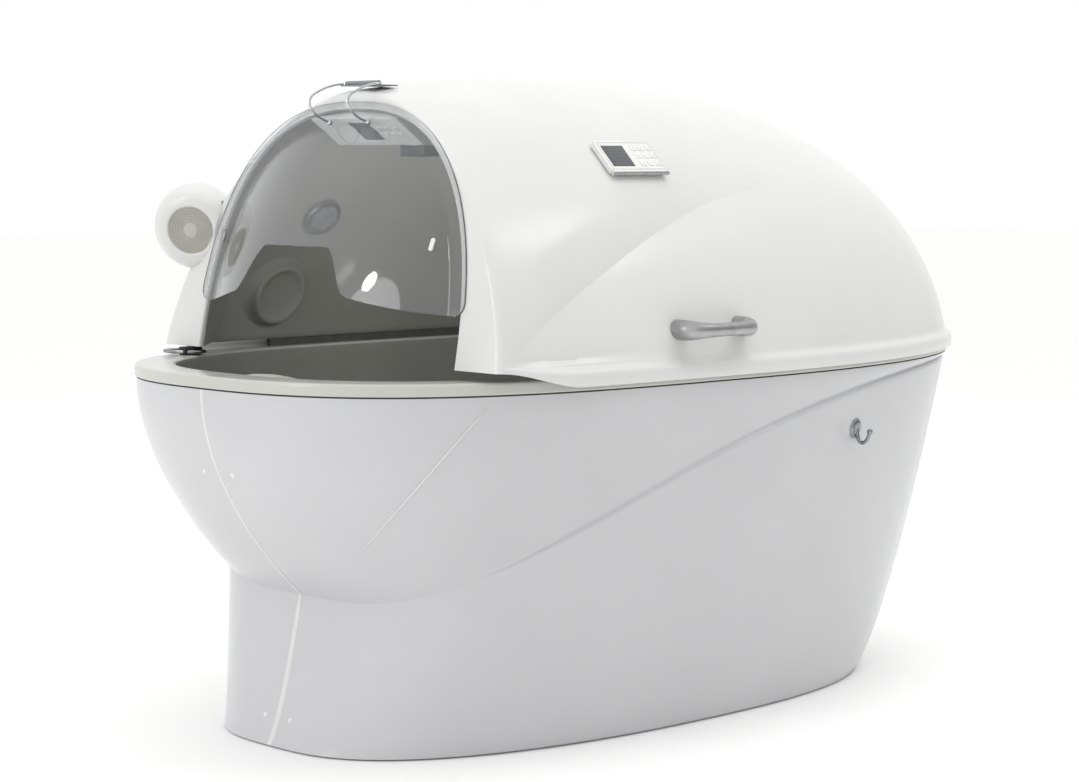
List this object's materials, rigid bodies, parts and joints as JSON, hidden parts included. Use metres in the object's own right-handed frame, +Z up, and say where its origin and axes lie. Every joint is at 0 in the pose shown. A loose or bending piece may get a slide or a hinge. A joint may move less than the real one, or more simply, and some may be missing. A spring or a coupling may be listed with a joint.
{
  "type": "spa capsule",
  "caption": "Egg-shaped spa capsule: flared hull with a tub, domed lid hinged along one side, clear face visor, control panels and a small fan.",
  "frame": {"origin": "middle of the bounding box at floor level", "axes": "+X towards the foot end, -Y towards the handle side, +Z up"},
  "size_m": [2.218, 1.3052, 1.4331],
  "materials": {
    "white_gelcoat": "gloss",
    "grey_liner": "satin",
    "chrome": "polished",
    "steel": "brushed",
    "frame_aluminium": "mill",
    "steamer_casing": "satin",
    "black_rubber": "matte",
    "black_plastic": "matte",
    "white_plastic": "satin",
    "display_glass": "gloss",
    "lamp_glass": "frosted",
    "clear_acrylic": "gloss",
    "grey_vinyl": "matte"
  },
  "bodies": {
    "hull": {"hull_near": "white_gelcoat", "hull_far": "white_gelcoat", "tub": "white_gelcoat", "rim_gasket": "black_rubber", "headrest": "grey_vinyl", "drain": "chrome", "base_frame": "frame_aluminium", "foot_1": "black_rubber", "foot_2": "black_rubber", "foot_3": "black_rubber", "foot_4": "black_rubber", "steam_generator": "steamer_casing", "steam_outlet": "chrome", "control_box": "white_plastic", "mains_inlet": "black_plastic", "robe_hook": "chrome", "lid_rest": "black_rubber", "hinge_base_head": "steel", "hinge_base_foot": "steel", "hinge_pin_head": "steel", "hinge_pin_foot": "steel"},
    "lid": {"lid_shell": "white_gelcoat", "lid_liner": "grey_liner", "lid_seal": "black_rubber", "hinge_arm_head": "steel", "hinge_arm_foot": "steel", "lid_handle": "chrome", "panel_bezel": "white_plastic", "panel_display": "display_glass", "console_housing": "white_plastic", "console_display": "display_glass", "aroma_vent": "black_plastic", "fan_cowl": "white_gelcoat", "fan_grille": "white_plastic", "fan_motor": "black_plastic", "wall_speaker": "grey_liner", "lamp_ring": "chrome", "lamp_lens": "lamp_glass", "visor_bracket": "steel"},
    "visor": {"visor": "clear_acrylic", "visor_arm_near": "chrome", "visor_arm_far": "chrome"},
    "fan_rotor": {"fan_rotor": "white_plastic"},
    "panel_key_1": {"panel_key_1": "white_plastic"},
    "panel_key_2": {"panel_key_2": "white_plastic"},
    "panel_key_3": {"panel_key_3": "white_plastic"},
    "panel_key_4": {"panel_key_4": "white_plastic"},
    "panel_key_5": {"panel_key_5": "white_plastic"},
    "panel_key_6": {"panel_key_6": "white_plastic"},
    "panel_key_7": {"panel_key_7": "white_plastic"},
    "panel_key_8": {"panel_key_8": "white_plastic"},
    "panel_key_9": {"panel_key_9": "white_plastic"},
    "console_key_1": {"console_key_1": "white_plastic"},
    "console_key_2": {"console_key_2": "white_plastic"},
    "console_key_3": {"console_key_3": "white_plastic"},
    "console_key_4": {"console_key_4": "white_plastic"},
    "console_key_5": {"console_key_5": "white_plastic"},
    "console_key_6": {"console_key_6": "white_plastic"}
  },
  "joints": [
    {"name": "lid_hinge", "type": "hinge", "parent": "hull", "child": "lid", "pos_m": [-0.145, 0.634, 0.7841], "axis": [-1, 0, 0], "range_deg": [0, 62]},
    {"name": "visor_hinge", "type": "hinge", "parent": "lid", "child": "visor", "pos_m": [-0.67, 0, 1.41486], "axis": [0, 1, 0], "range_deg": [0, 110]},
    {"name": "fan_spin", "type": "hinge", "parent": "lid", "child": "fan_rotor", "pos_m": [-0.783, 0.4845, 1.0905], "axis": [-0.8067, -0.5649, -0.1736], "continuous": true},
    {"name": "panel_key_1_press", "type": "slide", "parent": "lid", "child": "panel_key_1", "axis": [0, 0.7085, -0.7057], "range_m": [0, 0.0012], "stiffness_N_per_m": 300, "springref_m": -0.002},
    {"name": "panel_key_2_press", "type": "slide", "parent": "lid", "child": "panel_key_2", "axis": [0, 0.7085, -0.7057], "range_m": [0, 0.0012], "stiffness_N_per_m": 300, "springref_m": -0.002},
    {"name": "panel_key_3_press", "type": "slide", "parent": "lid", "child": "panel_key_3", "axis": [0, 0.7085, -0.7057], "range_m": [0, 0.0012], "stiffness_N_per_m": 300, "springref_m": -0.002},
    {"name": "panel_key_4_press", "type": "slide", "parent": "lid", "child": "panel_key_4", "axis": [0, 0.7085, -0.7057], "range_m": [0, 0.0012], "stiffness_N_per_m": 300, "springref_m": -0.002},
    {"name": "panel_key_5_press", "type": "slide", "parent": "lid", "child": "panel_key_5", "axis": [0, 0.7085, -0.7057], "range_m": [0, 0.0012], "stiffness_N_per_m": 300, "springref_m": -0.002},
    {"name": "panel_key_6_press", "type": "slide", "parent": "lid", "child": "panel_key_6", "axis": [0, 0.7085, -0.7057], "range_m": [0, 0.0012], "stiffness_N_per_m": 300, "springref_m": -0.002},
    {"name": "panel_key_7_press", "type": "slide", "parent": "lid", "child": "panel_key_7", "axis": [0, 0.7085, -0.7057], "range_m": [0, 0.0012], "stiffness_N_per_m": 300, "springref_m": -0.002},
    {"name": "panel_key_8_press", "type": "slide", "parent": "lid", "child": "panel_key_8", "axis": [0, 0.7085, -0.7057], "range_m": [0, 0.0012], "stiffness_N_per_m": 300, "springref_m": -0.002},
    {"name": "panel_key_9_press", "type": "slide", "parent": "lid", "child": "panel_key_9", "axis": [0, 0.7085, -0.7057], "range_m": [0, 0.0012], "stiffness_N_per_m": 300, "springref_m": -0.002},
    {"name": "console_key_1_press", "type": "slide", "parent": "lid", "child": "console_key_1", "axis": [0.5878, 0, 0.809], "range_m": [0, 0.0012], "stiffness_N_per_m": 300, "springref_m": -0.002},
    {"name": "console_key_2_press", "type": "slide", "parent": "lid", "child": "console_key_2", "axis": [0.5878, 0, 0.809], "range_m": [0, 0.0012], "stiffness_N_per_m": 300, "springref_m": -0.002},
    {"name": "console_key_3_press", "type": "slide", "parent": "lid", "child": "console_key_3", "axis": [0.5878, 0, 0.809], "range_m": [0, 0.0012], "stiffness_N_per_m": 300, "springref_m": -0.002},
    {"name": "console_key_4_press", "type": "slide", "parent": "lid", "child": "console_key_4", "axis": [0.5878, 0, 0.809], "range_m": [0, 0.0012], "stiffness_N_per_m": 300, "springref_m": -0.002},
    {"name": "console_key_5_press", "type": "slide", "parent": "lid", "child": "console_key_5", "axis": [0.5878, 0, 0.809], "range_m": [0, 0.0012], "stiffness_N_per_m": 300, "springref_m": -0.002},
    {"name": "console_key_6_press", "type": "slide", "parent": "lid", "child": "console_key_6", "axis": [0.5878, 0, 0.809], "range_m": [0, 0.0012], "stiffness_N_per_m": 300, "springref_m": -0.002}
  ]
}
